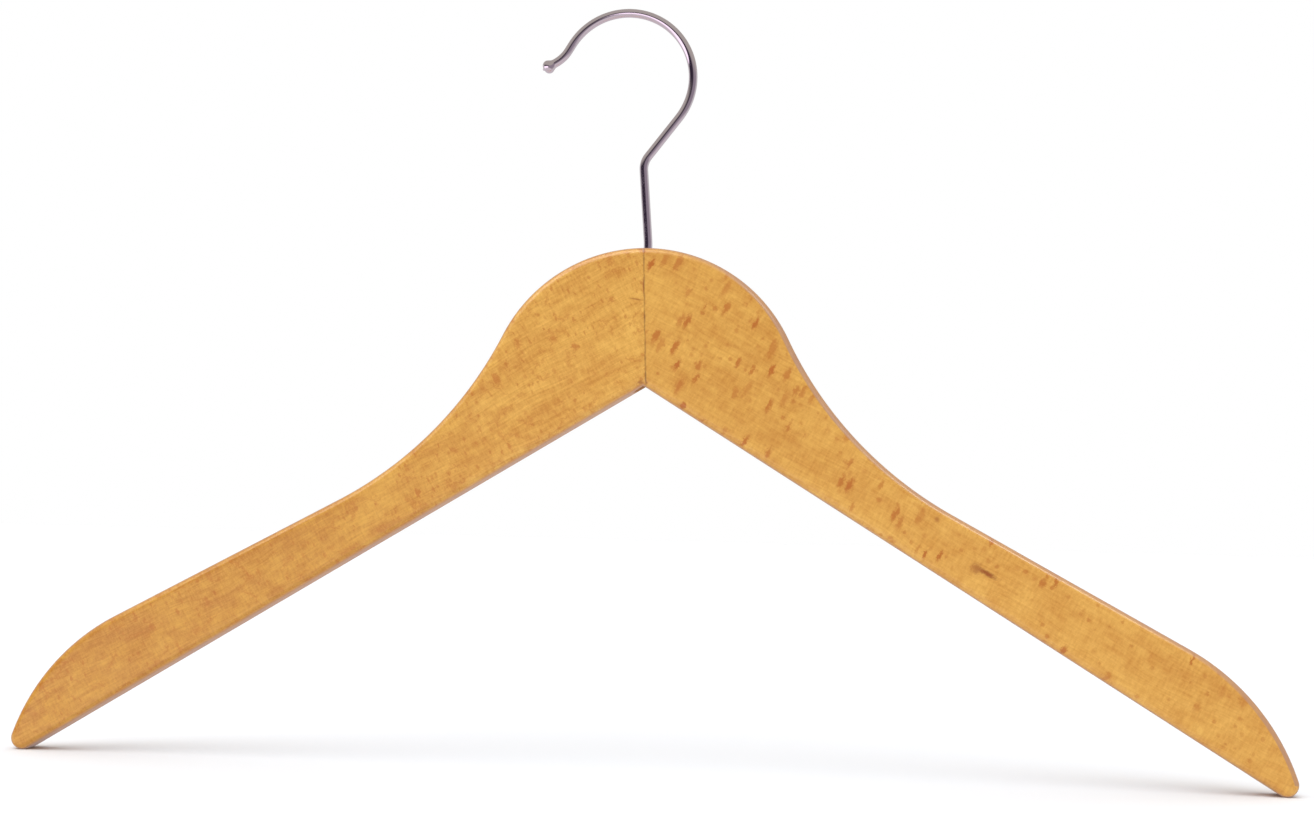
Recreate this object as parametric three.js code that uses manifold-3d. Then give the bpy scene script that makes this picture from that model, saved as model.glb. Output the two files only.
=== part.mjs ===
import * as THREE from 'three';
import { mergeVertices } from 'three/addons/utils/BufferGeometryUtils.js';
import Module from 'manifold-3d';

// A flat wooden clothes hanger with a wire hook that swivels. Millimetres, +Z up.
// X runs along the arms, Y through the wood, and the hook opens towards -X.
// The pieces are drawn with the notch under the crown at 0, 0, 0 and the hook's
// shank on the Z axis. The last group moves them so that the origin is the point
// inside the top of the hook that rests on a rail.

// Wood
const span = 440; // from tip to tip
const thickness = 12;
const edgeRound = 2; // radius along every long edge
const crownHeight = 47.6; // from the notch to the top of the crown
const crownRadius = 55;
const shoulderRadius = 133; // of the hollow between the crown and the arm
const armTopSlope = 28.4; // degrees below level
const armBottomSlope = 31.5; // degrees below level
const armTopRise = 15.4; // the arm's top line, carried on to the middle, passes this far above the notch
const endRadius = 75; // of the curve down to the tip
const tipRadius = 4;
const arcSteps = 9; // half the number of chords in each arc of the outline
const roundSteps = 3;

// Glued finger joint between the arms
const fingerLength = 10; // from root to tip
const fingerTip = 0.6; // width of a finger's blunt end
const fingerCount = 2; // fingers on each arm
const jointShoulder = 1.2; // straight stretch of the joint behind each face
const jointShift = 1; // from the notch to the foot of the joint, to the right
const jointLean = 2.2; // degrees that the joint leans to the left
const glueGap = 0.2; // along the arm

// Hook, one length of round wire
const wireDiameter = 3;
const leanStart = 1.5; // straight wire above the crown
const leanRadius = 20;
const stemLean = 4.8; // degrees to the left
const stemLength = 24.6;
const stemBendRadius = 7;
const neckAngle = 52.7; // degrees above level
const neckLength = 17;
const bowRadius = 23;
const bowSweep = 186.4; // degrees
const lipLength = 2.4;
const lipRadius = 12.2;
const lipTurn = 29.2; // degrees
const tipLength = 3;
const ballDiameter = 4.6; // upset end of the wire
const wireSides = 16;
const wireStep = 2; // length of one stretch of the faceted wire

// Nut and washer that hold the hook, in a pocket above the notch
const boreClearance = 0.1; // between the shank and the wood, all round
const pocketDepth = 5; // from the notch to the shoulder that the washer bears on
const pocketClearance = 0.3; // round the washer
const seatClearance = 0.05; // between the washer and its shoulder
const washerDiameter = 7;
const washerThickness = 0.5;
const washerClearance = 0.1; // round the shank
const nutAcrossFlats = 5.5;
const nutHeight = 2.4;
const nutClearance = 0.05; // round the shank
const shankProud = 0.8; // thread below the nut
const roundSides = 48;

const overcut = 1; // how far a cutter runs past what it cuts
const radians = THREE.MathUtils.degToRad;

const wasm = await Module();
wasm.setup();

function toSolid(geometry) {
  const bare = geometry.clone();
  bare.deleteAttribute('normal');
  bare.deleteAttribute('uv');
  const merged = mergeVertices(bare);
  return new wasm.Manifold(new wasm.Mesh({
    numProp: 3,
    vertProperties: merged.attributes.position.array,
    triVerts: Uint32Array.from(merged.index.array),
  }));
}

function toGeometry(solid) {
  const mesh = solid.getMesh();
  const geometry = new THREE.BufferGeometry();
  geometry.setAttribute('position', new THREE.BufferAttribute(mesh.vertProperties, 3));
  geometry.setIndex(new THREE.BufferAttribute(mesh.triVerts, 1));
  geometry.computeVertexNormals();
  return geometry;
}

// A round bar along Z.
function bar(diameter, bottom, top) {
  const radius = diameter / 2;
  const geometry = new THREE.CylinderGeometry(radius, radius, top - bottom, roundSides);
  return geometry.rotateX(Math.PI / 2).translate(0, 0, (top + bottom) / 2);
}

// The right half of the outline, from the crown round the tip to the notch. Each arc
// is tangent to the line or arc before it and after it.
function halfOutline() {
  const topOut = new THREE.Vector2(Math.sin(radians(armTopSlope)), Math.cos(radians(armTopSlope)));
  const topAlong = new THREE.Vector2(topOut.y, -topOut.x);
  const bottomIn = new THREE.Vector2(Math.sin(radians(armBottomSlope)), Math.cos(radians(armBottomSlope)));
  const topDistance = armTopRise * topOut.y;

  // The point at a given distance out from the arm's top line and a given distance
  // from another centre, on the side that the sign names.
  const centreBeside = (other, distance, reach, sign) => {
    const out = topDistance + distance - topOut.dot(other);
    const along = sign * Math.sqrt(reach ** 2 - out ** 2);
    return other.clone().addScaledVector(topOut, out).addScaledVector(topAlong, along);
  };

  const crown = new THREE.Vector2(0, crownHeight - crownRadius);
  const shoulder = centreBeside(crown, shoulderRadius, crownRadius + shoulderRadius, 1);
  const tip = new THREE.Vector2(span / 2 - tipRadius, 0);
  tip.y = (tipRadius - bottomIn.x * tip.x) / bottomIn.y;
  const end = centreBeside(tip, -endRadius, endRadius - tipRadius, -1);

  const crownEnd = shoulder.clone().sub(crown).angle();
  const topAngle = topOut.angle();
  const endEnd = tip.clone().sub(end).angle();
  const bottomAngle = bottomIn.clone().negate().angle();

  const outline = new THREE.Path();
  outline.absarc(crown.x, crown.y, crownRadius, Math.PI / 2, crownEnd, true);
  outline.absarc(shoulder.x, shoulder.y, shoulderRadius, crownEnd + Math.PI, topAngle + Math.PI, false);
  outline.absarc(end.x, end.y, endRadius, topAngle, endEnd, true);
  outline.absarc(tip.x, tip.y, tipRadius, endEnd, bottomAngle, true);
  outline.lineTo(0, 0);
  return outline.getPoints(arcSteps);
}

// Both arms as one board, standing up with its front face towards -Y.
function board() {
  const right = halfOutline();
  const left = right.slice(1, -1).reverse().map((point) => new THREE.Vector2(-point.x, point.y));
  const geometry = new THREE.ExtrudeGeometry(new THREE.Shape([...right, ...left]), {
    depth: thickness - 2 * edgeRound,
    bevelThickness: edgeRound,
    bevelSize: edgeRound,
    bevelOffset: -edgeRound,
    bevelSegments: roundSteps,
  });
  return geometry.translate(0, 0, edgeRound - thickness / 2).rotateX(Math.PI / 2);
}

// The joint seen from above, from in front of the wood to behind it: a straight
// shoulder, then the slopes and blunt ends of the fingers, then the other shoulder.
function jointLine() {
  const ends = 2 * fingerCount;
  const slope = (thickness - 2 * jointShoulder - ends * fingerTip) / ends;
  const line = [new THREE.Vector2(0, -thickness)];
  let y = -thickness / 2 + jointShoulder;
  line.push(new THREE.Vector2(0, y));
  y += slope / 2;
  for (let i = 0; i < ends; i++) {
    const x = (i % 2 ? -1 : 1) * fingerLength / 2;
    line.push(new THREE.Vector2(x, y), new THREE.Vector2(x, y + fingerTip));
    y += fingerTip + slope;
  }
  line.push(new THREE.Vector2(0, y - slope / 2), new THREE.Vector2(0, thickness));
  return line;
}

// All the space on one side of the joint, for the arm on that side.
function armSpace(side) {
  const line = jointLine().map((point) => point.add(new THREE.Vector2(side * glueGap / 2, 0)));
  const far = side * span;
  const shape = new THREE.Shape([...line, new THREE.Vector2(far, thickness), new THREE.Vector2(far, -thickness)]);
  const geometry = new THREE.ExtrudeGeometry(shape, { depth: 2 * span, bevelEnabled: false });
  return geometry.translate(0, 0, -span).rotateY(-radians(jointLean)).translate(jointShift, 0, 0);
}

function shankHole() {
  const bore = toSolid(bar(wireDiameter + 2 * boreClearance, 0, crownHeight + overcut));
  const pocket = bar(washerDiameter + 2 * pocketClearance, -pocketDepth - overcut, pocketDepth);
  return bore.add(toSolid(pocket));
}

function arm(side) {
  return toGeometry(toSolid(board()).intersect(toSolid(armSpace(side))).subtract(shankHole()));
}

// The direction at an angle from +X towards +Z.
function towards(angle) {
  return new THREE.Vector3(Math.cos(angle), 0, Math.sin(angle));
}

// One round bend in the XZ plane.
class Bend extends THREE.Curve {
  constructor(centre, radius, start, sweep) {
    super();
    Object.assign(this, { centre, radius, start, sweep });
  }

  getPoint(t, target = new THREE.Vector3()) {
    return target.copy(this.centre).addScaledVector(towards(this.start + this.sweep * t), this.radius);
  }
}

// A wire's middle line in the XZ plane, made of straights and bends as a bending jig
// makes them. It starts upwards, and a turn to the left is positive.
function bentLine(start, moves) {
  const line = new THREE.CurvePath();
  let here = start;
  let heading = Math.PI / 2;
  for (const { ahead, radius, turn } of moves) {
    if (ahead) {
      line.add(new THREE.LineCurve3(here, here.clone().addScaledVector(towards(heading), ahead)));
    } else {
      const sweep = radians(turn);
      const side = heading + Math.sign(sweep) * Math.PI / 2;
      line.add(new Bend(here.clone().addScaledVector(towards(side), radius), radius, side + Math.PI, sweep));
      heading += sweep;
    }
    here = line.curves.at(-1).getPoint(1);
  }
  return line;
}

const nutTop = pocketDepth - seatClearance - washerThickness;
const shankEnd = nutTop - nutHeight - shankProud;
const bow = { radius: bowRadius, turn: bowSweep };
const hookMoves = [
  { ahead: crownHeight + leanStart - shankEnd },
  { radius: leanRadius, turn: stemLean },
  { ahead: stemLength },
  { radius: stemBendRadius, turn: neckAngle - stemLean - 90 },
  { ahead: neckLength },
  bow,
  { ahead: lipLength },
  { radius: lipRadius, turn: -lipTurn },
  { ahead: tipLength },
];
const hookLine = bentLine(new THREE.Vector3(0, 0, shankEnd), hookMoves);
const bowCentre = hookLine.curves[hookMoves.indexOf(bow)].centre;
const railSeat = bowCentre.clone().add(new THREE.Vector3(0, 0, bowRadius - wireDiameter / 2));

function hook() {
  const section = new THREE.Shape();
  section.absarc(0, 0, wireDiameter / 2, 0, 2 * Math.PI, false);
  const wire = new THREE.ExtrudeGeometry(section, {
    curveSegments: wireSides / 2,
    steps: Math.round(hookLine.getLength() / wireStep),
    extrudePath: hookLine,
  });
  const end = hookLine.getPoint(1);
  const ball = new THREE.SphereGeometry(ballDiameter / 2, wireSides, wireSides / 2);
  return toGeometry(toSolid(wire).add(toSolid(ball.translate(end.x, end.y, end.z))));
}

function washer() {
  const bottom = nutTop;
  const top = bottom + washerThickness;
  const disc = toSolid(bar(washerDiameter, bottom, top));
  const hole = bar(wireDiameter + 2 * washerClearance, bottom - overcut, top + overcut);
  return toGeometry(disc.subtract(toSolid(hole)));
}

function hexNut() {
  const bottom = nutTop - nutHeight;
  const cornerRadius = nutAcrossFlats / 2 / Math.cos(Math.PI / 6);
  const block = new THREE.CylinderGeometry(cornerRadius, cornerRadius, nutHeight, 6);
  block.rotateX(Math.PI / 2).translate(0, 0, (nutTop + bottom) / 2);
  const hole = bar(wireDiameter + 2 * nutClearance, bottom - overcut, nutTop + overcut);
  return toGeometry(toSolid(block).subtract(toSolid(hole)));
}

const beech = () => new THREE.MeshStandardMaterial({ color: 0xdca45a, roughness: 0.35, metalness: 0 });
const chrome = () => new THREE.MeshStandardMaterial({ color: 0xd2ced0, roughness: 0.1, metalness: 1 });
const zinc = () => new THREE.MeshStandardMaterial({ color: 0xb9bcbe, roughness: 0.35, metalness: 1 });

function piece(name, geometry, material) {
  const mesh = new THREE.Mesh(geometry, material);
  mesh.name = name;
  return mesh;
}

const hanger = new THREE.Group();
hanger.position.copy(railSeat).negate();
hanger.add(
  piece('arm_left', arm(-1), beech()),
  piece('arm_right', arm(1), beech()),
  piece('hook', hook(), chrome()),
  piece('washer', washer(), zinc()),
  piece('hex_nut', hexNut(), zinc()),
);

const part = new THREE.Group();
part.add(hanger);
export default part;
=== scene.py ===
import math

import bpy
from mathutils import Matrix, Vector


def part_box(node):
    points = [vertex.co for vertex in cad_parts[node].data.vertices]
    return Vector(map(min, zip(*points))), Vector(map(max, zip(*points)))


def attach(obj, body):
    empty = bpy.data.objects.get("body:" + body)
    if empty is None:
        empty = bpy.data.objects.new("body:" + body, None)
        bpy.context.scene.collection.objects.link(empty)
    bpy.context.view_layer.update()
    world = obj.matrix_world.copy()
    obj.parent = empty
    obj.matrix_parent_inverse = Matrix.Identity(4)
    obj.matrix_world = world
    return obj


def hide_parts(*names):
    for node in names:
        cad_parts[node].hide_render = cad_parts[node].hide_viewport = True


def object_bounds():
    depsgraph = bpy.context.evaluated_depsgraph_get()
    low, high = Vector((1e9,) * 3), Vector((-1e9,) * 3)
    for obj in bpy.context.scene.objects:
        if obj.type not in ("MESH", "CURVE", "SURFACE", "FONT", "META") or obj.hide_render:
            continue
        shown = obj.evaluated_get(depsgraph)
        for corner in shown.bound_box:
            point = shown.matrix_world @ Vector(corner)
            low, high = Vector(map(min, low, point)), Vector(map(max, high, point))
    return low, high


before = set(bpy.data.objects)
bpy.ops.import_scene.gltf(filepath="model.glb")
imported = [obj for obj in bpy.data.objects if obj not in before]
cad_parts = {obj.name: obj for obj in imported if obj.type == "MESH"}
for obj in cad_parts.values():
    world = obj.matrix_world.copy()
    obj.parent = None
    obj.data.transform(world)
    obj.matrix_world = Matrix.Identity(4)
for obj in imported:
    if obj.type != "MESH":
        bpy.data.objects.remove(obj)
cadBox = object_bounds()
mm = 0.001

# The arms' places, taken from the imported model. The pieces are modelled with the hook's shank
# on the Z axis and the notch under the crown at 0, 0, 0, and moved into place when they are done.
leftBox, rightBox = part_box("arm_left"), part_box("arm_right")
hookBox, nutBox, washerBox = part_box("hook"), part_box("hex_nut"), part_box("washer")
armTip = (rightBox[1].x - leftBox[0].x) / 2
armDepth = rightBox[1].y - rightBox[0].y
shankX = (nutBox[0].x + nutBox[1].x) / 2


def sRgb(red, green, blue):
    def linear(value):
        value /= 255
        return value / 12.92 if value <= 0.04045 else ((value + 0.055) / 1.055) ** 2.4
    return (linear(red), linear(green), linear(blue), 1)


def onlyThis(piece):
    bpy.ops.object.select_all(action="DESELECT")
    piece.select_set(True)
    bpy.context.view_layer.objects.active = piece


def editMode(selectBy="VERT"):
    bpy.ops.object.mode_set(mode="EDIT")
    bpy.ops.mesh.select_mode(type=selectBy)


def objectMode():
    bpy.ops.object.mode_set(mode="OBJECT")


# One point to draw an outline from, left in edit mode
def startPoint(name, place):
    bpy.ops.object.select_all(action="DESELECT")
    bpy.ops.mesh.primitive_plane_add(size=1)
    piece = bpy.context.object
    piece.name = piece.data.name = name
    editMode()
    bpy.ops.mesh.merge(type="CENTER")
    bpy.ops.mesh.select_all(action="SELECT")
    bpy.ops.transform.translate(value=place)
    return piece


def drawLine(step):
    bpy.ops.mesh.extrude_region_move(TRANSFORM_OT_translate={"value": step})


# Turns about a centre in the XZ plane, counterclockwise from the front when positive
def drawArc(centre, radius, angle, chord):
    steps = max(2, math.ceil(abs(angle) * radius / chord))
    bpy.ops.mesh.spin(steps=steps, angle=angle, center=(centre.x, 0, centre.y), axis=(0, 1, 0))


# Closes the drawn outline and gives it a thickness
def fillAndExtrude(step):
    bpy.ops.mesh.select_all(action="SELECT")
    bpy.ops.mesh.remove_doubles(threshold=0.01 * mm)
    bpy.ops.mesh.edge_face_add()
    drawLine(step)
    faceOutwards()


# Closes every open ring
def closeEnds():
    bpy.ops.mesh.select_all(action="SELECT")
    bpy.ops.mesh.fill_holes(sides=0)
    faceOutwards()


def faceOutwards():
    bpy.ops.mesh.select_all(action="SELECT")
    bpy.ops.mesh.normals_make_consistent(inside=False)


def addModifier(piece, kind, **settings):
    modifier = piece.modifiers.new(kind.title(), kind)
    for key, value in settings.items():
        setattr(modifier, key, value)
    onlyThis(piece)
    bpy.ops.object.modifier_apply(modifier=modifier.name)


def cut(piece, cutter, operation="DIFFERENCE"):
    addModifier(piece, "BOOLEAN", operation=operation, object=cutter, solver="EXACT")


def remove(*things):
    for thing in things:
        bpy.data.objects.remove(thing)


def copyOf(piece, name):
    copied = piece.copy()
    copied.data = piece.data.copy()
    copied.name = copied.data.name = name
    bpy.context.collection.objects.link(copied)
    return copied


# Moves a finished piece to its place and leaves its object at the origin
def settle(piece, place, smoothAngle):
    onlyThis(piece)
    piece.location = place
    bpy.ops.object.transform_apply(location=True, rotation=True, scale=True)
    bpy.ops.object.shade_smooth_by_angle(angle=math.radians(smoothAngle))


woodSizes = {
    "edgeRound": 2.2 * mm,  # along every long edge
    "edgeSegments": 7,
    "faceBand": 1.4 * mm,  # strip of the flat face beside the rounded edge
    "crownRadius": 55 * mm,
    "shoulderRadius": 133 * mm,
    "topSlope": 28.4,  # degrees below level
    "bottomSlope": 31.5,
    "topRise": 15.4 * mm,  # the arm's top line passes this far above the notch
    "endRadius": 75 * mm,
    "tipRadius": 4 * mm,
    "chord": 1.6 * mm,  # longest straight stretch in an arc
    "edgeBandPower": 1.3,  # how the edge's grey-pink band fades towards the faces: the sides' own tone with a painted reflection
    "edgeReflectionSpread": 1.1,  # taken off that power where the edge faces up and to the right, to widen the painted reflection there
    "edgeReflectionFull": 0.8,  # how far right the edge faces where the whole spread is taken off
    "jointShift": 1 * mm,  # from the notch to the foot of the joint, to the right
    "jointLean": 2.2,  # degrees to the left
    "jointGap": 0.06 * mm,
    "fingerLength": 10 * mm,
    "fingerTip": 0.6 * mm,  # width of a finger's blunt end
    "fingers": 4,
    "jointShoulder": 1.2 * mm,  # straight stretch of the joint behind each face
    "bore": 3.2 * mm,  # for the shank
    "boreChamfer": 0.25 * mm,
    "pocket": 7.6 * mm,  # for the washer and the nut
    "pocketDepth": 5 * mm,
}


def direction(degrees):
    return Vector((math.cos(math.radians(degrees)), math.sin(math.radians(degrees))))


def angleOf(vector):
    return math.atan2(vector.y, vector.x)


# The right half of the outline, drawn from the crown round the tip to the notch
def drawHalfOutline(sizes, tip, crownTop):
    topOut = direction(90 - sizes["topSlope"])
    topAlong = direction(-sizes["topSlope"])
    topDistance = sizes["topRise"] * topOut.y

    def centreBeside(other, distance, reach, side):
        out = topDistance + distance - topOut.dot(other)
        along = side * math.sqrt(reach ** 2 - out ** 2)
        return other + topOut * out + topAlong * along

    crown = Vector((0, crownTop - sizes["crownRadius"]))
    shoulder = centreBeside(crown, sizes["shoulderRadius"], sizes["crownRadius"] + sizes["shoulderRadius"], 1)
    end = centreBeside(tip, -sizes["endRadius"], sizes["endRadius"] - sizes["tipRadius"], -1)
    crownEnd = angleOf(shoulder - crown)
    endEnd = angleOf(tip - end)
    topAngle = math.radians(90 - sizes["topSlope"])
    bottomAngle = math.radians(-90 - sizes["bottomSlope"])
    armStart = shoulder - topOut * sizes["shoulderRadius"]
    armEnd = end + topOut * sizes["endRadius"]
    tipEnd = tip + direction(-90 - sizes["bottomSlope"]) * sizes["tipRadius"]

    drawArc(crown, sizes["crownRadius"], crownEnd - math.pi / 2, sizes["chord"])
    drawArc(shoulder, sizes["shoulderRadius"], topAngle - crownEnd, sizes["chord"])
    drawLine((armEnd.x - armStart.x, 0, armEnd.y - armStart.y))
    drawArc(end, sizes["endRadius"], endEnd - topAngle, sizes["chord"])
    drawArc(tip, sizes["tipRadius"], bottomAngle - endEnd, sizes["chord"] / 3)
    drawLine((-tipEnd.x, 0, -tipEnd.y))


def makeBoard(sizes):
    lean = math.radians(sizes["bottomSlope"])
    tip = Vector((armTip - sizes["tipRadius"], 0))
    tip.y = (sizes["tipRadius"] - math.sin(lean) * tip.x) / math.cos(lean)
    notchZ = rightBox[0].z - (tip.y - sizes["tipRadius"])
    crownTop = rightBox[1].z - notchZ
    board = startPoint("board", (0, 0, crownTop))
    drawHalfOutline(sizes, tip, crownTop)
    objectMode()
    addModifier(board, "MIRROR", use_axis=(True, False, False), use_clip=True, merge_threshold=0.01 * mm)
    editMode()
    fillAndExtrude((0, armDepth, 0))
    bpy.ops.mesh.select_all(action="SELECT")
    bpy.ops.transform.translate(value=(0, -armDepth / 2, 0))
    objectMode()
    roundRims(board, sizes)
    return board, notchZ, crownTop


# Rounds the edges of both faces, then adds a narrow strip on each face
def roundRims(board, sizes):
    editMode("EDGE")
    bpy.ops.mesh.select_all(action="DESELECT")
    objectMode()
    points = board.data.vertices
    for edge in board.data.edges:
        first, second = (points[i].co.y for i in edge.vertices)
        edge.select = abs(first - second) < 0.01 * mm
    editMode("EDGE")
    bpy.ops.mesh.bevel(offset=sizes["edgeRound"], segments=sizes["edgeSegments"], affect="EDGES",
                       clamp_overlap=False)
    bpy.ops.mesh.select_mode(type="FACE")
    bpy.ops.mesh.select_all(action="DESELECT")
    objectMode()
    for face in board.data.polygons:
        face.select = abs(face.normal.y) > 0.999 and abs(abs(face.center.y) - armDepth / 2) < 0.01 * mm
    editMode("FACE")
    bpy.ops.mesh.inset(thickness=sizes["faceBand"], use_individual=False)
    objectMode()


# A tall block whose one side follows the finger joint, for cutting away one arm
def makeJointCutter(sizes, side):
    start = -armDepth / 2 + sizes["jointShoulder"]
    slope = (armDepth - 2 * sizes["jointShoulder"] - sizes["fingers"] * sizes["fingerTip"]) / sizes["fingers"]
    far = side * armTip * 1.2
    reach = sizes["fingerLength"] / 2
    cutter = startPoint("jointCutter", (side * sizes["jointGap"] / 2, -armDepth, -armTip))
    drawLine((0, armDepth + start, 0))
    drawLine((reach, slope / 2, 0))
    for finger in range(sizes["fingers"]):
        drawLine((0, sizes["fingerTip"], 0))
        if finger < sizes["fingers"] - 1:
            drawLine((-2 * reach if finger % 2 == 0 else 2 * reach, slope, 0))
    drawLine((reach, slope / 2, 0))
    drawLine((0, armDepth / 2 + sizes["jointShoulder"], 0))
    drawLine((far, 0, 0))
    drawLine((0, -2 * armDepth, 0))
    fillAndExtrude((0, 0, 2 * armTip))
    bpy.ops.mesh.select_all(action="SELECT")
    lean = math.radians(sizes["jointLean"])
    bpy.ops.transform.rotate(value=lean, orient_axis="Y", center_override=(0, 0, 0))
    bpy.ops.transform.translate(value=(sizes["jointShift"], 0, 0))
    objectMode()
    return cutter


# The pocket for the nut and the hole for the shank, which widens at 45 degrees at the crown
def makeHoleCutter(sizes, crownTop):
    bpy.ops.object.select_all(action="DESELECT")
    below = 5 * mm  # from the notch down to the cutter's foot
    bpy.ops.mesh.primitive_circle_add(vertices=64, radius=sizes["pocket"] / 2, location=(0, 0, -below))
    cutter = bpy.context.object
    cutter.name = "holeCutter"
    bpy.ops.object.transform_apply(location=True)
    editMode()
    bpy.ops.mesh.select_all(action="SELECT")
    drawLine((0, 0, below + sizes["pocketDepth"]))
    shrinkRing(sizes["bore"] / sizes["pocket"])
    drawLine((0, 0, crownTop - sizes["pocketDepth"] - sizes["boreChamfer"]))
    drawLine((0, 0, 4 * sizes["boreChamfer"]))
    grow = 1 + 8 * sizes["boreChamfer"] / sizes["bore"]
    bpy.ops.transform.resize(value=(grow, grow, 1))
    closeEnds()
    objectMode()
    return cutter


# A new ring in the same plane, smaller by a factor
def shrinkRing(factor):
    drawLine((0, 0, 0))
    bpy.ops.transform.resize(value=(factor, factor, 1))


# A value on each point for the finish: how far round the edge it lies, 0 on the faces and 1 on
# the sides. It rises sooner where the edge faces up and to the right, where the painted reflection is wider.
def markEdges(arm, sizes):
    mark = arm.data.attributes.new("edgeTurn", "FLOAT", "POINT")
    for point in arm.data.vertices:
        depth = min(1, max(0, (armDepth / 2 - abs(point.co.y)) / sizes["edgeRound"]))
        turn = math.acos(1 - depth) / (math.pi / 2)
        outwards = math.hypot(point.normal.x, point.normal.z) or 1
        rightwards = 0
        if point.normal.z > 0:
            rightwards = min(1, max(0, point.normal.x / outwards / sizes["edgeReflectionFull"]))
        mark.data[point.index].value = turn ** (sizes["edgeBandPower"] - sizes["edgeReflectionSpread"] * rightwards)


def makeArms(sizes):
    board, notchZ, crownTop = makeBoard(sizes)
    holeCutter = makeHoleCutter(sizes, crownTop)
    arms = []
    for name, side in (("armLeft", 1), ("armRight", -1)):
        arm = copyOf(board, name)
        jointCutter = makeJointCutter(sizes, side)
        cut(arm, jointCutter)
        cut(arm, holeCutter)
        remove(jointCutter)
        settle(arm, (shankX, 0, notchZ), 25)
        addModifier(arm, "WEIGHTED_NORMAL", keep_sharp=True)
        markEdges(arm, sizes)
        arms.append(arm)
    remove(board, holeCutter)
    return arms, notchZ, crownTop


hookSizes = {
    "wire": 3 * mm,
    "sides": 40,
    "bendStep": 3,  # degrees
    "leanStart": 1.5 * mm,
    "leanRadius": 20 * mm,
    "stemLean": 4.8,  # degrees to the left
    "stemLength": 24.6 * mm,
    "stemBendRadius": 7 * mm,
    "neckAngle": 52.7,  # degrees above level
    "neckLength": 17 * mm,
    "bowRadius": 23 * mm,
    "bowSweep": 186.4,  # degrees
    "lipLength": 2.4 * mm,
    "lipRadius": 12.2 * mm,
    "lipTurn": 29.2,  # degrees
    "tipLength": 0.5 * mm,
    "headLength": 4.7 * mm,
    "headWidth": 4.7 * mm,
    "headRim": 1.9 * mm,  # radius of the rim
    "headDome": 0.4 * mm,
    "threadLength": 7 * mm,
    "threadPitch": 0.5 * mm,
    "threadDepth": 0.28 * mm,
    "threadInset": 0.02 * mm,  # from the wire's surface in to the thread's crest
    "runOut": 0.25 * mm,  # the taper from the thread to the wire
    "runOutShare": 0.9,  # of the wire's width, at the taper's foot
}


def towards(angle):
    return Vector((math.cos(angle), 0, math.sin(angle)))


# Bends a wire from its open ring of points, as on a bending jig, and returns its end and heading
def bendWire(start, moves, sizes):
    here, heading = start, math.pi / 2
    for move in moves:
        if "ahead" in move:
            step = towards(heading) * move["ahead"]
            drawLine(step)
            here = here + step
        else:
            turn = math.radians(move["turn"])
            side = heading + math.copysign(math.pi / 2, turn)
            centre = here + towards(side) * move["radius"]
            steps = max(2, math.ceil(abs(move["turn"]) / sizes["bendStep"]))
            bpy.ops.mesh.spin(steps=steps, angle=turn, center=centre, axis=(0, 1, 0))
            heading += turn
            here = centre + towards(heading + math.copysign(math.pi / 2, -turn)) * move["radius"]
    return here, heading


# The end of the wire is pressed into a small ball: it swells, turns over a round rim and closes in
# a low dome
def formHead(here, heading, sizes):
    wireRadius, headRadius = sizes["wire"] / 2, sizes["headWidth"] / 2
    rim, dome = sizes["headRim"], sizes["headDome"]
    flare = sizes["headLength"] - rim - dome
    rings = []  # how far ahead each ring lies, and its radius
    for step in range(1, 9):
        part = step / 8
        swell = part * part * (3 - 2 * part)
        rings.append((flare * part, wireRadius + (headRadius - wireRadius) * swell))
    for step in range(1, 7):
        angle = math.pi / 2 * step / 6
        rings.append((flare + rim * math.sin(angle), headRadius - rim * (1 - math.cos(angle))))
    flat = headRadius - rim
    for step in range(1, 6):
        angle = math.pi / 2 * step / 6
        rings.append((flare + rim + dome * math.sin(angle), flat * math.cos(angle)))
    ahead, radius = 0, wireRadius
    for newAhead, newRadius in rings:
        drawLine(towards(heading) * (newAhead - ahead))
        scale = newRadius / radius
        centre = here + towards(heading) * newAhead
        bpy.ops.transform.resize(value=(scale, scale, scale), center_override=centre)
        ahead, radius = newAhead, newRadius


# A rolled thread along Z, cut flat at both ends
def makeThread(sizes, low, high):
    radius = sizes["wire"] / 2 - sizes["threadInset"]
    pitch, depth = sizes["threadPitch"], sizes["threadDepth"]
    turns = math.ceil((high - low) / pitch) + 4
    thread = startPoint("thread", (radius - depth, 0, low - 2.1 * pitch))
    drawLine((0, 0, pitch * 0.2))  # root
    drawLine((depth, 0, pitch * 0.34))
    drawLine((0, 0, pitch * 0.12))  # crest
    drawLine((-depth, 0, pitch * 0.34))
    objectMode()
    addModifier(thread, "SCREW", angle=2 * math.pi, screw_offset=pitch, iterations=turns, steps=40,
                render_steps=40, axis="Z", use_merge_vertices=True, merge_threshold=0.01 * mm)
    editMode()
    bpy.ops.mesh.select_all(action="SELECT")
    bpy.ops.mesh.remove_doubles(threshold=0.01 * mm)
    for height, upper in ((low, False), (high, True)):
        bpy.ops.mesh.select_all(action="SELECT")
        bpy.ops.mesh.bisect(plane_co=(0, 0, height), plane_no=(0, 0, 1), use_fill=True,
                            clear_outer=upper, clear_inner=not upper, threshold=0.0001 * mm)
    faceOutwards()
    objectMode()
    return thread


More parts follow.
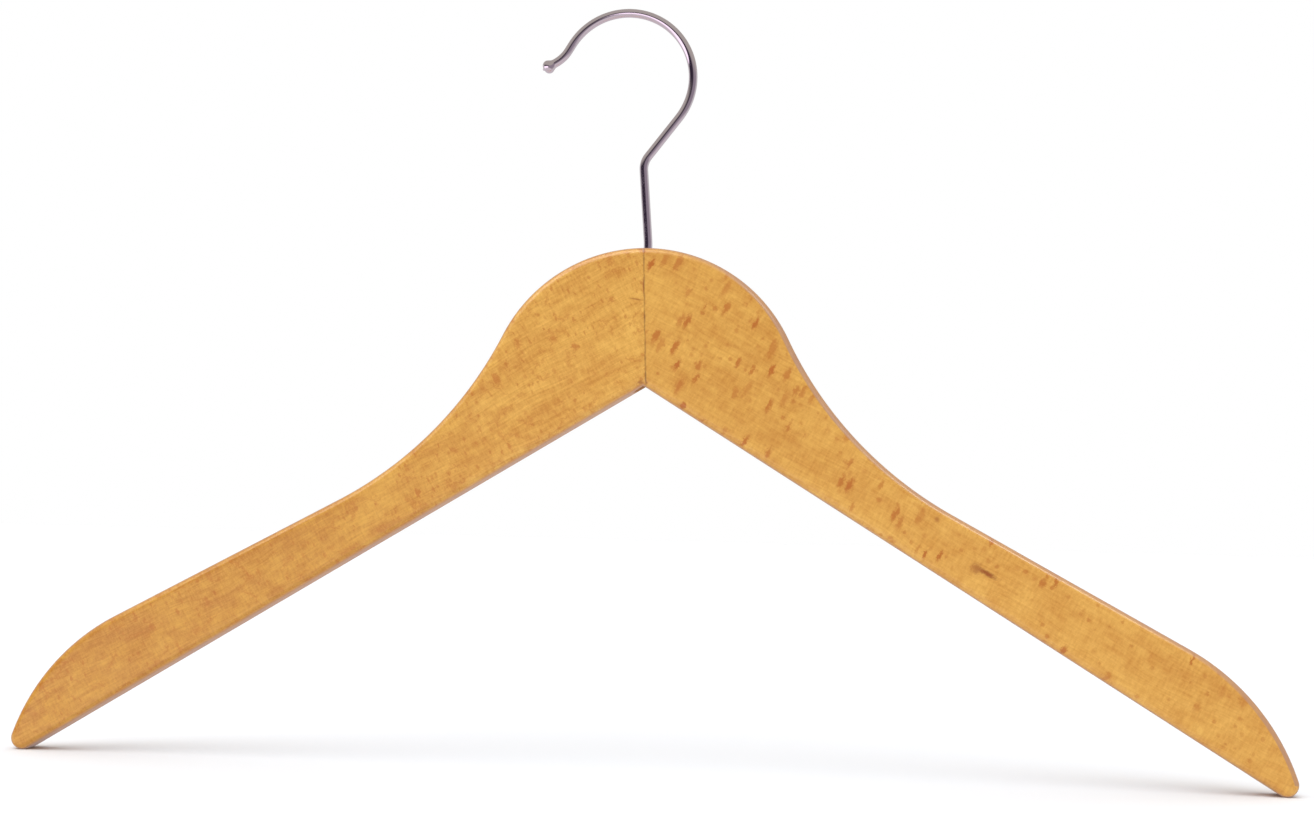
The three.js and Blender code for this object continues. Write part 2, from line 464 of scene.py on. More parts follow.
def makeHook(sizes, notchZ, crownTop):
    shankEnd = hookBox[0].z - notchZ
    threadTop = shankEnd + sizes["threadLength"]
    bpy.ops.object.select_all(action="DESELECT")
    footRadius = sizes["wire"] / 2 * sizes["runOutShare"]
    bpy.ops.mesh.primitive_circle_add(vertices=sizes["sides"], radius=footRadius)
    hook = bpy.context.object
    hook.name = hook.data.name = "hookWire"
    hook.location.z = threadTop - sizes["runOut"]
    bpy.ops.object.transform_apply(location=True)
    editMode()
    bpy.ops.mesh.select_all(action="SELECT")
    drawLine((0, 0, sizes["runOut"]))
    grow = 1 / sizes["runOutShare"]
    bpy.ops.transform.resize(value=(grow, grow, 1))
    start = Vector((0, 0, threadTop))
    moves = [
        {"ahead": crownTop + sizes["leanStart"] - threadTop},
        {"radius": sizes["leanRadius"], "turn": sizes["stemLean"]},
        {"ahead": sizes["stemLength"]},
        {"radius": sizes["stemBendRadius"], "turn": sizes["neckAngle"] - sizes["stemLean"] - 90},
        {"ahead": sizes["neckLength"]},
        {"radius": sizes["bowRadius"], "turn": sizes["bowSweep"]},
        {"ahead": sizes["lipLength"]},
        {"radius": sizes["lipRadius"], "turn": -sizes["lipTurn"]},
        {"ahead": sizes["tipLength"]},
    ]
    here, heading = bendWire(start, moves, sizes)
    formHead(here, heading, sizes)
    closeEnds()
    objectMode()
    thread = makeThread(sizes, shankEnd, threadTop)
    cut(hook, thread, "UNION")
    remove(thread)
    settle(hook, (shankX, 0, notchZ), 40)
    return hook


washerSizes = {"hole": 3.2 * mm, "round": 0.12 * mm}


def makeWasher(sizes, notchZ):
    low, high = washerBox
    outer = (high.x - low.x) / 2
    bpy.ops.object.select_all(action="DESELECT")
    bpy.ops.mesh.primitive_circle_add(vertices=96, radius=outer)
    washer = bpy.context.object
    washer.name = washer.data.name = "flatWasher"
    editMode()
    bpy.ops.mesh.select_all(action="SELECT")
    shrinkRing(sizes["hole"] / 2 / outer)
    bpy.ops.mesh.select_all(action="SELECT")
    drawLine((0, 0, high.z - low.z))
    faceOutwards()
    objectMode()
    addModifier(washer, "BEVEL", width=sizes["round"], segments=3, limit_method="ANGLE")
    settle(washer, (shankX, 0, low.z), 30)
    return washer


nutSizes = {"hole": 3.1 * mm, "countersink": 0.35 * mm, "chamfer": 0.42 * mm, "round": 0.06 * mm}


def makeNut(sizes):
    low, high = nutBox
    height = high.z - low.z
    corner = (high.y - low.y) / 2
    bpy.ops.object.select_all(action="DESELECT")
    bpy.ops.mesh.primitive_cylinder_add(vertices=6, radius=corner, depth=height, location=(0, 0, height / 2))
    nut = bpy.context.object
    nut.name = nut.data.name = "hexNut"
    bpy.ops.object.transform_apply(location=True)
    chamfered = turnedBlank("nutBlank", corner, height, sizes["chamfer"], 0.5)
    cut(nut, chamfered, "INTERSECT")
    bore = turnedBlank("nutBore", sizes["hole"] / 2, height, -sizes["countersink"], 1)
    cut(nut, bore)
    remove(chamfered, bore)
    addModifier(nut, "BEVEL", width=sizes["round"], segments=2, limit_method="ANGLE")
    settle(nut, (shankX, 0, low.z), 25)
    return nut


# A round blank whose two ends are narrower, or wider when the chamfer is negative
def turnedBlank(name, radius, height, chamfer, slope):
    extra = 0 if chamfer > 0 else 1 * mm
    bpy.ops.object.select_all(action="DESELECT")
    bpy.ops.mesh.primitive_circle_add(vertices=96, radius=radius - chamfer, location=(0, 0, -extra))
    blank = bpy.context.object
    blank.name = name
    bpy.ops.object.transform_apply(location=True)
    editMode()
    bpy.ops.mesh.select_all(action="SELECT")
    if extra:
        drawLine((0, 0, extra))
    drawLine((0, 0, abs(chamfer) * slope))
    grow = radius / (radius - chamfer)
    bpy.ops.transform.resize(value=(grow, grow, 1))
    drawLine((0, 0, height - 2 * abs(chamfer) * slope))
    drawLine((0, 0, abs(chamfer) * slope))
    bpy.ops.transform.resize(value=(1 / grow, 1 / grow, 1))
    if extra:
        drawLine((0, 0, extra))
    closeEnds()
    objectMode()
    return blank


# Sets a socket to a value, or links another socket to it
def feed(tree, socket, value):
    if isinstance(value, bpy.types.NodeSocket):
        tree.links.new(value, socket)
    else:
        socket.default_value = value


def addNode(tree, kind, inputs, **settings):
    made = tree.nodes.new(kind)
    for key, value in settings.items():
        setattr(made, key, value)
    for key, value in inputs.items():
        feed(tree, made.inputs[key], value)
    return made


def calculate(tree, operation, *values):
    return addNode(tree, "ShaderNodeMath", dict(enumerate(values)), operation=operation).outputs[0]


def vectorMath(tree, operation, *values):
    made = addNode(tree, "ShaderNodeVectorMath", dict(enumerate(values)), operation=operation)
    return made.outputs["Value" if operation == "LENGTH" else "Vector"]


# Smoothly 0 to 1 as the value goes from one limit to the other
def ease(tree, value, start, end):
    inputs = {"Value": value, "From Min": start, "From Max": end}
    return addNode(tree, "ShaderNodeMapRange", inputs, interpolation_type="SMOOTHSTEP").outputs["Result"]


def remap(tree, value, low, high, newLow, newHigh):
    inputs = {"Value": value, "From Min": low, "From Max": high, "To Min": newLow, "To Max": newHigh}
    return addNode(tree, "ShaderNodeMapRange", inputs).outputs["Result"]


def mixColours(tree, amount, first, second, blend="MIX"):
    inputs = {0: amount, 6: first, 7: second}
    return addNode(tree, "ShaderNodeMix", inputs, data_type="RGBA", blend_type=blend).outputs[2]


def addNoise(tree, place, size, detail=2, roughness=0.5):
    stretched = vectorMath(tree, "DIVIDE", place, size)
    inputs = {"Vector": stretched, "Scale": 1, "Detail": detail, "Roughness": roughness}
    return addNode(tree, "ShaderNodeTexNoise", inputs)


def newGroup(name, inputs, outputs):
    tree = bpy.data.node_groups.new(name, "ShaderNodeTree")
    for socketName, kind in inputs.items():
        tree.interface.new_socket(socketName, in_out="INPUT", socket_type="NodeSocket" + kind)
    for socketName, kind in outputs.items():
        tree.interface.new_socket(socketName, in_out="OUTPUT", socket_type="NodeSocket" + kind)
    return tree, tree.nodes.new("NodeGroupInput").outputs, tree.nodes.new("NodeGroupOutput").inputs


def placeGroup(tree, group, **inputs):
    made = tree.nodes.new("ShaderNodeGroup")
    made.node_tree = group
    for key, value in inputs.items():
        feed(tree, made.inputs[key], value)
    return made.outputs


def newMaterial(name):
    material = bpy.data.materials.new(name)
    material.use_nodes = True
    tree = material.node_tree
    return material, tree, tree.nodes["Principled BSDF"]


# The object's own coordinates in millimetres, turned about Y and counted from a place
def ownPlace(tree, origin, turn=0):
    coordinates = tree.nodes.new("ShaderNodeTexCoord").outputs["Object"]
    moved = vectorMath(tree, "SUBTRACT", coordinates, origin)
    return addNode(tree, "ShaderNodeMapping", {
        "Vector": moved, "Rotation": (0, math.radians(turn), 0), "Scale": (1000, 1000, 1000)}).outputs[0]


# A dark mark: 1 in the middle of an ellipsoid, 0 outside it, with a ragged edge
def buildMark():
    tree, given, result = newGroup(
        "mark", {"Place": "Vector", "Size": "Vector", "Ragged": "Float"}, {"Mask": "Float"})
    ragged = addNoise(tree, given["Place"], (1.3, 1.2, 0.5), 4, 0.65).outputs[0]
    distance = vectorMath(tree, "LENGTH", vectorMath(tree, "DIVIDE", given["Place"], given["Size"]))
    ragged = calculate(tree, "SUBTRACT", ragged, 0.5)
    pushed = calculate(tree, "MULTIPLY_ADD", ragged, given["Ragged"], distance)
    feed(tree, result["Mask"], ease(tree, pushed, 1, 0.2))
    return tree


# Lays the grain's place flat, so that what is drawn on it runs through the wood at a slant
def flatPlace(tree, place, size):
    parts = addNode(tree, "ShaderNodeSeparateXYZ", {"Vector": place}).outputs
    sizes = addNode(tree, "ShaderNodeSeparateXYZ", {"Vector": size}).outputs
    along = calculate(tree, "DIVIDE", calculate(tree, "MULTIPLY_ADD", parts[1], 0.5, parts[0]), sizes[0])
    across = calculate(tree, "DIVIDE", calculate(tree, "MULTIPLY_ADD", parts[1], -0.7, parts[2]), sizes[2])
    return addNode(tree, "ShaderNodeCombineXYZ", {0: along, 1: across}).outputs[0]


# Scattered dashes that lie across the grain: one to a cell, in some cells only
def buildDashes():
    tree, given, result = newGroup("dashes", {
        "Grain": "Vector", "Cell": "Vector", "Share": "Float", "Size": "Float", "Ragged": "Float"}, {
        "Mask": "Float"})
    wobble = addNoise(tree, given["Grain"], (1.1, 2, 1.5), 4, 0.7).outputs["Color"]
    shift = vectorMath(tree, "SUBTRACT", wobble, (0.5, 0.5, 0.5))
    shift = vectorMath(tree, "SCALE", shift)
    feed(tree, shift.node.inputs["Scale"], given["Ragged"])
    flat = flatPlace(tree, vectorMath(tree, "ADD", given["Grain"], shift), given["Cell"])
    cells = addNode(tree, "ShaderNodeTexVoronoi", {"Vector": flat, "Scale": 1}, voronoi_dimensions="2D")
    chance = addNode(tree, "ShaderNodeSeparateColor", {"Color": cells.outputs["Color"]}).outputs
    patches = addNoise(tree, given["Grain"], (26, 60, 20), 2).outputs[0]
    share = calculate(tree, "MULTIPLY", given["Share"], ease(tree, patches, 0.3, 0.6))
    present = ease(tree, calculate(tree, "SUBTRACT", share, chance[0]), 0, 0.1)
    size = calculate(tree, "MULTIPLY", given["Size"], remap(tree, chance[1], 0, 1, 0.5, 1))
    shape = ease(tree, cells.outputs["Distance"], size, calculate(tree, "MULTIPLY", size, 0.35))
    strength = calculate(tree, "MULTIPLY", present, remap(tree, chance[2], 0, 1, 0.4, 1))
    feed(tree, result["Mask"], calculate(tree, "MULTIPLY", shape, strength))
    return tree


# Fine wavering lines that come and go
def buildWavyLines():
    tree, given, result = newGroup("wavyLines", {
        "Grain": "Vector", "Cell": "Vector", "Width": "Float", "Share": "Float"}, {"Mask": "Float"})
    wobble = addNoise(tree, given["Grain"], (3, 6, 2.5), 4, 0.7).outputs["Color"]
    shift = vectorMath(tree, "MULTIPLY", vectorMath(tree, "SUBTRACT", wobble, (0.5, 0.5, 0.5)), (7, 0, 7))
    flat = flatPlace(tree, vectorMath(tree, "ADD", given["Grain"], shift), given["Cell"])
    cells = addNode(tree, "ShaderNodeTexVoronoi", {"Vector": flat, "Scale": 1},
                    feature="DISTANCE_TO_EDGE", voronoi_dimensions="2D")
    line = ease(tree, cells.outputs["Distance"], given["Width"], 0)
    patches = addNoise(tree, given["Grain"], (9, 40, 7), 3, 0.6).outputs[0]
    present = ease(tree, calculate(tree, "ADD", patches, given["Share"]), 0.96, 1.06)
    feed(tree, result["Mask"], calculate(tree, "MULTIPLY", line, present))
    return tree


# The wood's tone, from pale at 1 to dark at 0, and the depth of its pores
def buildGrain():
    tree, given, result = newGroup("woodGrain", {
        "Grain": "Vector", "Ring Width": "Float", "Contrast": "Float"}, {
        "Tone": "Float", "Streaks": "Float", "Height": "Float"})
    grain = given["Grain"]
    wander = addNoise(tree, grain, (60, 30, 30), 2).outputs["Color"]
    bent = vectorMath(tree, "ADD", grain, vectorMath(
        tree, "MULTIPLY", vectorMath(tree, "SUBTRACT", wander, (0.5, 0.5, 0.5)), (0, 5, 9)))
    height = addNode(tree, "ShaderNodeSeparateXYZ", {"Vector": bent}).outputs[2]
    turns = calculate(tree, "DIVIDE", calculate(tree, "MULTIPLY", height, 2 * math.pi), given["Ring Width"])
    rings = calculate(tree, "MULTIPLY", ease(tree, calculate(tree, "SINE", turns), 0.2, 1), -0.05)
    streaks = addNoise(tree, bent, (14, 0.8, 0.6), 3, 0.6).outputs[0]
    layers = (
        (addNoise(tree, bent, (70, 30, 16), 2).outputs[0], 0.6),
        (addNoise(tree, grain, (8, 7, 6), 5, 0.75).outputs[0], 1.3),
        (streaks, 0.8),
        (addNoise(tree, grain, (0.8, 3, 3.6), 3, 0.6).outputs[0], 0.75),
        (addNoise(tree, grain, (0.6, 0.6, 0.6), 2).outputs[0], 0.4),
    )
    total = rings
    for layer, weight in layers:
        total = calculate(tree, "MULTIPLY_ADD", calculate(tree, "SUBTRACT", layer, 0.5), weight, total)
    pores = addNoise(tree, bent, (3.5, 0.16, 0.16), 2).outputs[0]
    feed(tree, result["Tone"], calculate(tree, "MULTIPLY_ADD", total, given["Contrast"], 0.5))
    feed(tree, result["Streaks"], streaks)
    feed(tree, result["Height"], calculate(tree, "MULTIPLY_ADD", pores, 0.5, streaks))
    return tree


# Polished or plated metal that has been handled: smudges and fine scratches
def buildHandledMetal():
    tree, given, result = newGroup("handledMetal", {
        "Place": "Vector", "Roughness": "Float", "Smudges": "Float", "Rub": "Float"}, {
        "Roughness": "Float", "Tone": "Float", "Height": "Float"})
    smudge = addNoise(tree, given["Place"], (5, 5, 5), 3, 0.6).outputs[0]
    grains = addNoise(tree, given["Place"], (0.5, 0.5, 0.5), 2).outputs[0]
    scratches = addNoise(tree, given["Place"], (0.12, 6, 2.5), 3, 0.7).outputs[0]
    rubbed = calculate(tree, "MULTIPLY", given["Rub"], ease(tree, scratches, 0.4, 0.7))
    dull = calculate(tree, "MULTIPLY", given["Smudges"], ease(tree, smudge, 0.42, 0.75))
    rough = calculate(tree, "ADD", calculate(tree, "ADD", given["Roughness"], dull),
                      calculate(tree, "MULTIPLY", rubbed, 0.22))
    feed(tree, result["Roughness"], rough)
    feed(tree, result["Tone"], calculate(tree, "SUBTRACT", remap(tree, grains, 0.3, 0.7, 0.98, 1), calculate(
        tree, "MULTIPLY", dull, 0.3)))
    feed(tree, result["Height"], calculate(tree, "MULTIPLY", rubbed, -0.6))
    return tree


beech = {
    "pale": sRgb(244, 188, 86),
    "deep": sRgb(209, 140, 47),
    "fleck": sRgb(192, 102, 8),
    "knot": sRgb(158, 76, 0),
    "glue": sRgb(140, 88, 36),
    # grey-pink for the rounded edges: partly the sides' own tone, partly a painted reflection of the room
    "edge": sRgb(192, 145, 112),
    "coatRoughness": 0.26,
    "specular": 0.3,
    "bumpHeight": 0.02 * mm,
    "tipShadeStart": 20,  # the painted shading toward the tip fades in between these, in millimetres along the arm
    "tipShadeEnd": 150,
}


# Marks are placed in millimetres right of, behind and above the notch. side is -1 for the left arm.
def makeBeech(name, groups, side, notchZ, look):
    material, tree, shader = newMaterial(name)
    grain = ownPlace(tree, (shankX, 0, notchZ), -side * look["slope"])
    moved = vectorMath(tree, "ADD", grain, look["seed"])
    wood = placeGroup(tree, groups["grain"], **{
        "Grain": moved, "Ring Width": look["ringWidth"], "Contrast": look["contrast"]})
    colour = mixColours(tree, wood["Tone"], beech["deep"], beech["pale"])

    along = calculate(tree, "ABSOLUTE", addNode(tree, "ShaderNodeSeparateXYZ", {"Vector": grain}).outputs[0])
    # Painted shade toward the tip: darker on the left arm, a little lighter on the right, as the light falls
    tipShadedColour = mixColours(tree, 1, colour, look["paintedTipShading"], "MULTIPLY")
    colour = mixColours(tree, ease(tree, along, beech["tipShadeStart"], beech["tipShadeEnd"]), colour, tipShadedColour)
    thinning = ease(tree, along, look["thinEnd"], look["thinStart"])
    fleckShare = calculate(tree, "MULTIPLY_ADD", thinning, look["fleckShare"], look["fleckShareFar"])
    flecks = placeGroup(tree, groups["dashes"], Grain=moved, Cell=look["fleckCell"], Size=look["fleckSize"],
                        Share=fleckShare, Ragged=look["ragged"])["Mask"]
    specks = placeGroup(tree, groups["dashes"], Grain=moved, Cell=look["speckCell"], Share=look["speckShare"],
                        Size=look["speckSize"], Ragged=look["ragged"] / 2)["Mask"]
    lines = placeGroup(tree, groups["wavyLines"], Grain=moved, Cell=look["lineCell"], Width=look["lineWidth"],
                       Share=look["lineShare"])["Mask"]
    marks = calculate(tree, "MAXIMUM", flecks, calculate(tree, "MULTIPLY", specks, look["speckDepth"]))
    marks = calculate(tree, "MAXIMUM", marks, calculate(tree, "MULTIPLY", lines, look["lineDepth"]))
    colour = mixColours(tree, calculate(tree, "MULTIPLY", marks, look["markDepth"]), colour, beech["fleck"])

    for mark in look["marks"]:
        right, behind, above = (value * mm for value in mark["at"])
        place = ownPlace(tree, (shankX + right, behind, notchZ + above), mark["turn"])
        mask = placeGroup(tree, groups["mark"], Place=place, Size=mark["size"], Ragged=mark["ragged"])["Mask"]
        mask = calculate(tree, "MULTIPLY", mask, mark["depth"])
        colour = mixColours(tree, mask, colour, beech["knot"])
        marks = calculate(tree, "MAXIMUM", marks, mask)

    upright = ownPlace(tree, (shankX + woodSizes["jointShift"], 0, notchZ), woodSizes["jointLean"])
    across = addNode(tree, "ShaderNodeSeparateXYZ", {"Vector": upright}).outputs[0]
    glue = ease(tree, calculate(tree, "ABSOLUTE", across), 0.5, 0.1)
    patchy = addNoise(tree, upright, (2, 2, 5), 3).outputs[0]
    glue = calculate(tree, "MULTIPLY", glue, remap(tree, patchy, 0.4, 0.65, 0.1, 0.7))
    colour = mixColours(tree, glue, colour, beech["glue"])

    # The rounded edges are mixed towards grey-pink: partly the sides' own tone under a thinner coat, partly a
    # painted reflection, widest where the edges face up and right
    turn = addNode(tree, "ShaderNodeAttribute", {}, attribute_name="edgeTurn").outputs["Fac"]
    uneven = addNoise(tree, grain, (12, 6, 6), 3).outputs[0]
    edge = calculate(tree, "MULTIPLY", ease(tree, turn, 0.25, 0.75), remap(tree, uneven, 0.3, 0.7, 0.7, 1))
    colour = mixColours(tree, edge, colour, beech["edge"])
    feed(tree, shader.inputs["Base Color"], colour)
    feed(tree, shader.inputs["Roughness"], remap(tree, wood["Streaks"], 0.3, 0.7, 0.55, 0.45))
    edgeCoatShare = calculate(tree, "MULTIPLY_ADD", edge, -0.7, 1)
    coat = calculate(tree, "MULTIPLY", edgeCoatShare, remap(tree, uneven, 0.3, 0.7, 0.8, 1))
    feed(tree, shader.inputs["Coat Weight"], coat)
    shader.inputs["Coat Roughness"].default_value = beech["coatRoughness"]
    shader.inputs["Specular IOR Level"].default_value = beech["specular"]
    depth = calculate(tree, "SUBTRACT", wood["Height"], calculate(tree, "MULTIPLY", marks, 0.3))
    bump = addNode(tree, "ShaderNodeBump", {
        "Height": depth, "Strength": 0.35, "Distance": beech["bumpHeight"]})
    feed(tree, shader.inputs["Normal"], bump.outputs[0])
    return material


# Each arm's grain slopes down from the crown. Its flecks thin out between thinStart and thinEnd,
# and a tint multiplies the colour toward the tip: painted shade that darkens the left arm's tip, and a faint
# painted light on the right's. Lengths are in millimetres.
leftLook = {
    "slope": 29, "seed": (40, 3, 17), "ringWidth": 4.2, "contrast": 1.5, "paintedTipShading": (0.86, 0.78, 0.55, 1),
    "thinStart": 60, "thinEnd": 200,
    "fleckCell": (6, 1, 9), "fleckShare": 0.12, "fleckShareFar": 0.14, "fleckSize": 0.3, "ragged": 4.5,
    "speckCell": (1.7, 1, 3.2), "speckShare": 0.5, "speckSize": 0.42, "speckDepth": 0.75,
    "lineCell": (9, 1, 6), "lineWidth": 0.08, "lineShare": 0.47, "lineDepth": 0.55, "markDepth": 0.8,
    "marks": [  # a crack beside the joint, its branch, and a dark spot at the notch
        {"at": (-0.6, -6, 34), "turn": 2, "size": (0.45, 4, 4.5), "ragged": 1, "depth": 0.75},
        {"at": (-3, -6, 29.6), "turn": -8, "size": (3.4, 4, 0.45), "ragged": 1, "depth": 0.6},
        {"at": (-0.8, -6, 0.9), "turn": 0, "size": (1.4, 3, 1.2), "ragged": 1, "depth": 0.6},
    ],
}

rightLook = {
    "slope": 28, "seed": (211, 8, 65), "ringWidth": 2.9, "contrast": 1.15, "paintedTipShading": (1.03, 1.03, 1.1, 1),
    "thinStart": 50, "thinEnd": 130,
    "fleckCell": (4.2, 1, 12), "fleckShare": 0.55, "fleckShareFar": 0.34, "fleckSize": 0.4, "ragged": 3.4,
    "speckCell": (3.2, 1, 3), "speckShare": 0.3, "speckSize": 0.4, "speckDepth": 0.6,
    "lineCell": (17, 1, 9), "lineWidth": 0.03, "lineShare": 0.33, "lineDepth": 0.6, "markDepth": 0.95,
    "marks": [  # a knot and the dark wood round it, a spot, and a dark spot at the notch
        {"at": (117.5, -6, -61), "turn": -29, "size": (5, 4, 1.3), "ragged": 1, "depth": 0.95},
        {"at": (113.9, -6, -59.4), "turn": -20, "size": (2.8, 4, 2.6), "ragged": 1.3, "depth": 0.6},
        {"at": (100.6, -6, -43.3), "turn": 0, "size": (1.2, 4, 1.5), "ragged": 0.8, "depth": 0.5},
        {"at": (0.8, -6, 0.9), "turn": 0, "size": (1.4, 3, 1.2), "ragged": 1, "depth": 0.6},
    ],
}


# The wire is rubbed where it rests on a rail, fully within rubFull millimetres to each side and
# less out to rubReach, and lightly on the stem below
chromeLook = {"tint": (0.80, 0.745, 0.785, 1), "roughness": 0.06, "smudges": 0.08, "rubFull": 3,
              "rubReach": 12, "bumpHeight": 0.01 * mm}


def makeChrome(groups):
    material, tree, shader = newMaterial("chromedWire")
    place = ownPlace(tree, (0, 0, 0))
    parts = addNode(tree, "ShaderNodeSeparateXYZ", {"Vector": place}).outputs
    sideways = calculate(tree, "ABSOLUTE", parts[0])
    sideways = ease(tree, sideways, chromeLook["rubReach"], chromeLook["rubFull"])
    inside = ease(tree, parts[2], 1.6, 0.2)
    metal = placeGroup(tree, groups["handledMetal"], Place=place, Roughness=chromeLook["roughness"],
                       Smudges=chromeLook["smudges"], Rub=calculate(tree, "MULTIPLY", sideways, inside))
    tone = metal["Tone"]
    grey = addNode(tree, "ShaderNodeCombineColor", {0: tone, 1: tone, 2: tone}).outputs[0]
    # The pinkish tint is painted light: it stands in for the pinkish colour of the lamps reflected in the
    # chrome
    feed(tree, shader.inputs["Base Color"], mixColours(tree, 1, grey, chromeLook["tint"], "MULTIPLY"))
    feed(tree, shader.inputs["Roughness"], metal["Roughness"])
    shader.inputs["Metallic"].default_value = 1
    bump = addNode(tree, "ShaderNodeBump", {
        "Height": metal["Height"], "Strength": 0.15, "Distance": chromeLook["bumpHeight"]})
    feed(tree, shader.inputs["Normal"], bump.outputs[0])
    return material


zincLook = {"bright": (0.74, 0.75, 0.77, 1), "dull": (0.50, 0.52, 0.56, 1), "roughness": 0.27, "smudges": 0.2,
            "rub": 0.3, "bumpHeight": 0.02 * mm}


def makeZinc(groups):
    material, tree, shader = newMaterial("zincPlate")
    place = ownPlace(tree, (0, 0, 0))
    cloud = addNoise(tree, place, (0.9, 0.9, 0.9), 4, 0.65).outputs[0]
    metal = placeGroup(tree, groups["handledMetal"], Place=place, Roughness=zincLook["roughness"],
                       Smudges=zincLook["smudges"], Rub=zincLook["rub"])
    feed(tree, shader.inputs["Base Color"], mixColours(
        tree, ease(tree, cloud, 0.35, 0.65), zincLook["dull"], zincLook["bright"]))
    feed(tree, shader.inputs["Roughness"], metal["Roughness"])
    shader.inputs["Metallic"].default_value = 1
    bump = addNode(tree, "ShaderNodeBump", {
        "Height": metal["Height"], "Strength": 0.4, "Distance": zincLook["bumpHeight"]})
    feed(tree, shader.inputs["Normal"], bump.outputs[0])
    return material


# Angles in degrees, the distance in metres from the point it aims at
camera = {"azimuth": 5.8, "elevation": -3.095, "roll": 1.433, "distance": 0.67265, "lens": 53.43,
          "aimRight": 4.54 * mm, "aimUp": -8.4 * mm}


def makeCamera():
    low, high = cadBox
    aim = (low + high) / 2 + Vector((camera["aimRight"], 0, camera["aimUp"]))
    turn, rise, roll = (math.radians(camera[key]) for key in ("azimuth", "elevation", "roll"))
    back = Vector((math.sin(turn) * math.cos(rise), -math.cos(turn) * math.cos(rise), math.sin(rise)))
    level = Vector((math.cos(turn), math.sin(turn), 0))
    upright = back.cross(level)
    right = level * math.cos(roll) + upright * math.sin(roll)
    up = upright * math.cos(roll) - level * math.sin(roll)
    data = bpy.data.cameras.new("camera")
    data.lens = camera["lens"]
    data.clip_start = 0.01
    thing = bpy.data.objects.new("camera", data)
    bpy.context.collection.objects.link(thing)
    place = Matrix((right, up, back)).transposed().to_4x4()
    place.translation = aim + back * camera["distance"]
    thing.matrix_world = place
    bpy.context.scene.camera = thing


floorLook = {"width": 12, "colour": (0.865, 0.875, 0.89, 1), "roughness": 0.9, "specular": 0.1}


def makeFloor():
    bpy.ops.object.select_all(action="DESELECT")
    bpy.ops.mesh.primitive_plane_add(size=floorLook["width"], location=(0, 0, cadBox[0].z))
    floor = bpy.context.object
    floor.name = "floor"
    material, tree, shader = newMaterial("paleFloor")
    shader.inputs["Base Color"].default_value = floorLook["colour"]
    shader.inputs["Roughness"].default_value = floorLook["roughness"]
    shader.inputs["Specular IOR Level"].default_value = floorLook["specular"]
    floor.data.materials.append(material)
    floor.visible_glossy = False


# Each light is aimed at the object's middle. The sun lights everything softly, and the two boxes
# only make highlights in the varnish.
middle = Vector((0, 0, -0.12))
lights = {
    "topLight": {"kind": "SUN", "from": (-0.25, -0.6, 1), "power": 1.18, "angle": 60, "soft": True},
    "rightBox": {"kind": "AREA", "from": (0.75, -0.75, 0.75), "power": 5, "size": 0.35, "soft": False},
    "leftBox": {"kind": "AREA", "from": (-0.42, -0.55, 0.66), "power": 8, "size": 0.9, "soft": False},
}


def makeLights(varnished):
    receivers = bpy.data.collections.new("varnished")
    for piece in varnished:
        receivers.objects.link(piece)
    for name, light in lights.items():
        data = bpy.data.lights.new(name, light["kind"])
        data.energy = light["power"]
        if light["kind"] == "SUN":
            data.angle = math.radians(light["angle"])
        else:
            data.size = light["size"]
        thing = bpy.data.objects.new(name, data)
        thing.location = light["from"]
        aim = Vector(light["from"]) - middle
        thing.rotation_euler = aim.to_track_quat("Z", "Y").to_euler()
        thing.visible_diffuse = light["soft"]
        thing.visible_glossy = not light["soft"]
        if not light["soft"]:
            thing.light_linking.receiver_collection = receivers
        bpy.context.collection.objects.link(thing)


# What the shiny surfaces see: a dim room with a grey ceiling, a pale table and a bright panel low
# at the left
room = {
    "dark": (0.035, 0.024, 0.042, 1),
    "right": (0.30, 0.25, 0.30, 1),
    "behind": (0.62, 0.59, 0.60, 1),
    "ceiling": (0.46, 0.42, 0.39, 1),
    "table": (0.66, 0.59, 0.63, 1),
    "panel": (1.5, 1.27, 1.5, 1),
}
# How bright the soft light is from each direction
studio = {"front": 0.24, "behind": 0.5, "above": 1.22, "colour": (0.975, 0.985, 1, 1)}


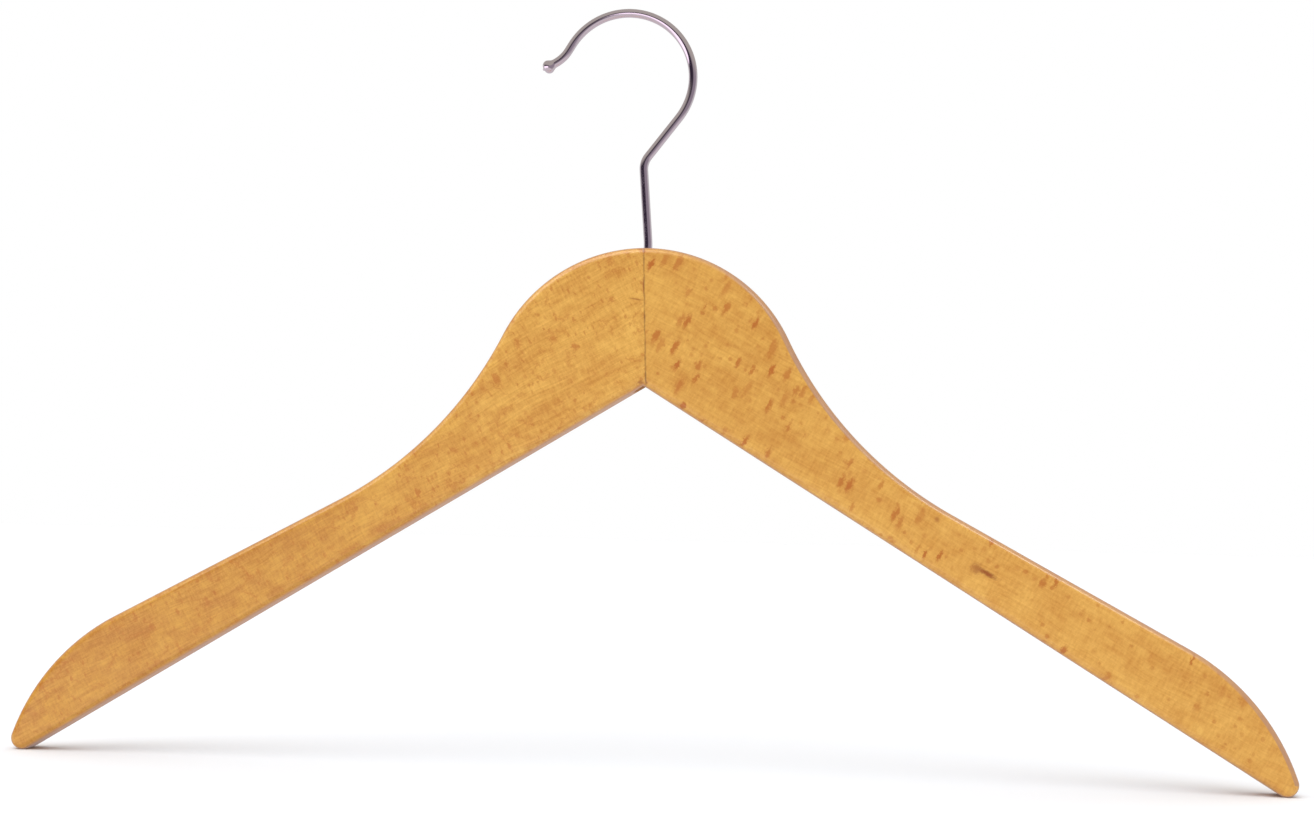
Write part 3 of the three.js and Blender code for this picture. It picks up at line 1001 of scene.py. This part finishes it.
# White where the camera looks past the object; the light that falls on the wood is soft and even
def makeWorld():
    world = bpy.data.worlds.new("studio")
    bpy.context.scene.world = world
    world.use_nodes = True
    world.cycles.sampling_method = "NONE"
    tree = world.node_tree
    tree.nodes.clear()
    heading = tree.nodes.new("ShaderNodeTexCoord").outputs["Generated"]
    parts = addNode(tree, "ShaderNodeSeparateXYZ", {"Vector": heading}).outputs
    view = mixColours(tree, ease(tree, parts[0], -0.1, 0.45), room["dark"], room["right"])
    belowTop = ease(tree, parts[2], 0.05, -0.02)
    aboveFoot = ease(tree, parts[2], -0.85, -0.65)
    atLeft = ease(tree, parts[0], 0.05, -0.1)
    panel = calculate(tree, "MULTIPLY", belowTop, aboveFoot)
    panel = calculate(tree, "MULTIPLY", panel, atLeft)
    view = mixColours(tree, panel, view, room["panel"])
    view = mixColours(tree, ease(tree, parts[1], -0.3, 0.35), view, room["behind"])
    view = mixColours(tree, ease(tree, parts[2], 0.2, 0.5), view, room["ceiling"])
    view = mixColours(tree, ease(tree, parts[2], -0.25, -0.6), view, room["table"])
    level = remap(tree, parts[1], -1, 1, studio["front"], studio["behind"])
    upper = ease(tree, parts[2], 0.25, 1)
    level = calculate(tree, "MULTIPLY_ADD", upper, studio["above"] - studio["front"], level)
    soft = addNode(tree, "ShaderNodeBackground", {"Color": studio["colour"], "Strength": level})
    shiny = addNode(tree, "ShaderNodeBackground", {"Color": view, "Strength": 1.0})
    white = addNode(tree, "ShaderNodeBackground", {"Color": (1, 1, 1, 1), "Strength": 1.0})
    ray = tree.nodes.new("ShaderNodeLightPath").outputs
    both = addNode(tree, "ShaderNodeMixShader", {
        0: ray["Is Glossy Ray"], 1: soft.outputs[0], 2: shiny.outputs[0]})
    every = addNode(tree, "ShaderNodeMixShader", {
        0: ray["Is Camera Ray"], 1: both.outputs[0], 2: white.outputs[0]})
    addNode(tree, "ShaderNodeOutputWorld", {"Surface": every.outputs[0]})
    bpy.context.scene.view_settings.view_transform = "Standard"


makeCamera()
makeFloor()
makeWorld()
print("camera, floor and world made")

(armLeft, armRight), notchZ, crownTop = makeArms(woodSizes)
print("arms made")
hookWire = makeHook(hookSizes, notchZ, crownTop)
print("hook made")
flatWasher = makeWasher(washerSizes, notchZ)
hexNut = makeNut(nutSizes)
print("washer and nut made")

groups = {
    "grain": buildGrain(),
    "dashes": buildDashes(),
    "wavyLines": buildWavyLines(),
    "mark": buildMark(),
    "handledMetal": buildHandledMetal(),
}
zinc = makeZinc(groups)
rides = (
    (armLeft, "wood", "arm_left", "beech", makeBeech("beechLeft", groups, -1, notchZ, leftLook)),
    (armRight, "wood", "arm_right", "beech", makeBeech("beechRight", groups, 1, notchZ, rightLook)),
    (hookWire, "hook", "hook", "chrome", makeChrome(groups)),
    (flatWasher, "hook", "washer", "zinc", zinc),
    (hexNut, "hook", "hex_nut", "zinc", zinc),
)
makeLights((armLeft, armRight))
for piece, body, nodeName, slotName, finish in rides:
    piece.data.materials.clear()
    piece.data.materials.append(finish)
    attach(piece, body)
    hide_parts(nodeName)
print("finishes made")
